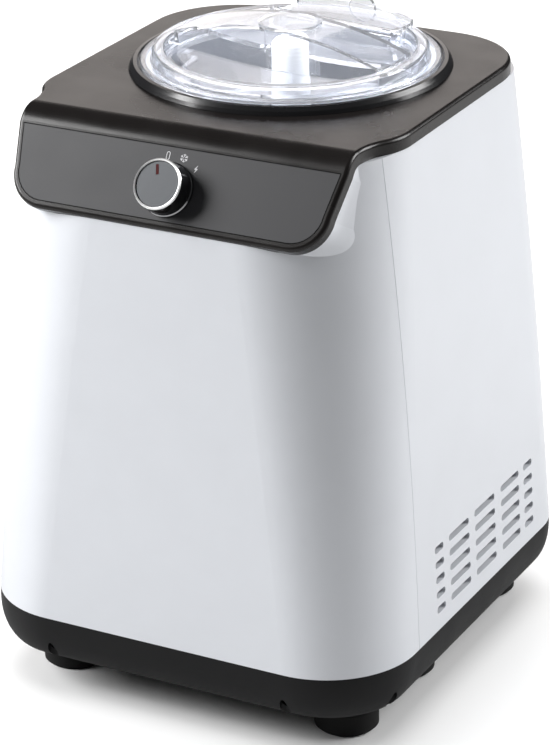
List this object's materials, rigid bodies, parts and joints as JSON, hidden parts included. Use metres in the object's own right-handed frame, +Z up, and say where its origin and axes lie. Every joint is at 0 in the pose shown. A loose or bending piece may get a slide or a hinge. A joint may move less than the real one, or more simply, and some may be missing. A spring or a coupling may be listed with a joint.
{
  "type": "ice cream maker",
  "caption": "Countertop compressor ice cream maker with tapered shells, slanted dial panel, lift-out bowl and clear gripped lid.",
  "frame": {"origin": "middle of the overall box at the level that the feet stand on", "axes": "+Z up, -Y towards the control panel, +X to the right as seen from the front"},
  "size_m": [0.246, 0.2566, 0.348],
  "materials": {
    "white_shell": "pearl white satin gloss",
    "cover_black": "fine matte texture",
    "collar_black": "semi-gloss",
    "panel_grey": "brushed dark grey print",
    "base_black": "satin",
    "foot_rubber": "matte",
    "screw_steel": "zinc plated",
    "chrome": "polished",
    "knob_grey": "satin",
    "pointer_red": "gloss",
    "inner_black": "plain moulding",
    "steel": "brushed",
    "clear_lid": "clear polycarbonate",
    "silicone": "matte translucent",
    "bowl_alloy": "satin anodised",
    "paddle_white": "satin",
    "gear_nylon": "natural nylon",
    "brass": "machined",
    "gearbox_grey": "plain moulding",
    "motor_steel": "zinc plated can",
    "compressor_black": "satin black enamel",
    "copper": "drawn copper tube",
    "fin_aluminium": "mill finish",
    "foam_cream": "rigid polyurethane foam",
    "board_green": "solder mask"
  },
  "bodies": {
    "housing": {"base_screws": "screw_steel", "base_tray": "base_black", "board_posts": "inner_black", "cold_well": "steel", "collar_ring": "collar_black", "compressor": "compressor_black", "compressor_plate": "steel", "condenser_fins": "fin_aluminium", "condenser_tubes": "copper", "control_board": "board_green", "control_panel": "panel_grey", "cord_gland": "inner_black", "discharge_pipe": "copper", "evaporator": "copper", "fan_motor": "motor_steel", "fan_shroud": "inner_black", "filter_drier": "copper", "foam_jacket": "foam_cream", "foot_front_left": "foot_rubber", "foot_front_right": "foot_rubber", "foot_middle_left": "foot_rubber", "foot_middle_right": "foot_rubber", "foot_rear_left": "foot_rubber", "foot_rear_right": "foot_rubber", "front_shell": "white_shell", "gearbox_cover": "gearbox_grey", "gearbox_housing": "gearbox_grey", "gearbox_legs": "steel", "gearbox_spacers": "inner_black", "idler_axle": "steel", "liquid_pipe": "copper", "paddle_motor": "motor_steel", "rear_shell": "white_shell", "rotary_switch": "inner_black", "rubber_mounts": "silicone", "shaft_seal": "silicone", "start_relay": "inner_black", "suction_pipe": "copper", "switch_nut": "steel", "top_cover": "cover_black"},
    "knob": {"knob_skirt": "chrome", "knob_core": "inner_black", "knob_face": "knob_grey", "knob_pointer": "pointer_red", "switch_shaft": "steel"},
    "lid": {"lid": "clear_lid", "lid_gasket": "silicone", "flap_pins": "steel"},
    "flap": {"filler_flap": "clear_lid"},
    "bowl": {"bowl": "bowl_alloy", "handle_ears": "bowl_alloy"},
    "bail": {"bowl_handle": "steel"},
    "paddle": {"paddle": "paddle_white"},
    "output": {"output_gear": "gear_nylon", "output_shaft": "steel"},
    "idler": {"idler_gear": "gear_nylon"},
    "motor_rotor": {"motor_pinion": "brass", "motor_shaft": "steel"},
    "fan": {"fan_wheel": "inner_black", "fan_shaft": "steel"}
  },
  "joints": [
    {"name": "knob_turn", "type": "hinge", "parent": "housing", "child": "knob", "pos_m": [0, -0.1068, 0.29726], "axis": [0, 0.8443, -0.5358], "range_deg": [0, 60]},
    {"name": "lid_lift", "type": "slide", "parent": "housing", "child": "lid", "axis": [0, 0, 1], "range_m": [0, 0.27]},
    {"name": "flap_open", "type": "hinge", "parent": "lid", "child": "flap", "pos_m": [0.00494, 0.06942, 0.3352], "axis": [0.9934, -0.1149, 0], "range_deg": [0, 100]},
    {"name": "bowl_lift", "type": "slide", "parent": "housing", "child": "bowl", "axis": [0, 0, 1], "range_m": [0, 0.135]},
    {"name": "handle_swing", "type": "hinge", "parent": "bowl", "child": "bail", "pos_m": [0, 0.0267, 0.317], "axis": [-1, 0, 0], "range_deg": [0, 90]},
    {"name": "output_spin", "type": "hinge", "parent": "housing", "child": "output", "pos_m": [0, 0.0267, 0.2], "axis": [0, 0, 1], "continuous": true},
    {"name": "idler_spin", "type": "hinge", "parent": "housing", "child": "idler", "pos_m": [0.02897, -0.02064, 0.16], "axis": [0, 0, 1], "continuous": true},
    {"name": "motor_spin", "type": "hinge", "parent": "housing", "child": "motor_rotor", "pos_m": [0.045, -0.06, 0.15], "axis": [0, 0, 1], "continuous": true},
    {"name": "paddle_spin", "type": "hinge", "parent": "bowl", "child": "paddle", "pos_m": [0, 0.0267, 0.26], "axis": [0, 0, 1], "continuous": true},
    {"name": "fan_spin", "type": "hinge", "parent": "housing", "child": "fan", "pos_m": [0.08, 0.014, 0.079], "axis": [1, 0, 0], "continuous": true}
  ],
  "couplings": [
    {"joint": "bowl_lift", "follows": "lid_lift", "ratio": 0.5},
    {"joint": "handle_swing", "follows": "lid_lift", "rad_per_m": 5.8},
    {"joint": "idler_spin", "follows": "output_spin", "ratio": -4.2857},
    {"joint": "motor_spin", "follows": "output_spin", "ratio": 20},
    {"joint": "paddle_spin", "follows": "output_spin", "ratio": 1}
  ]
}
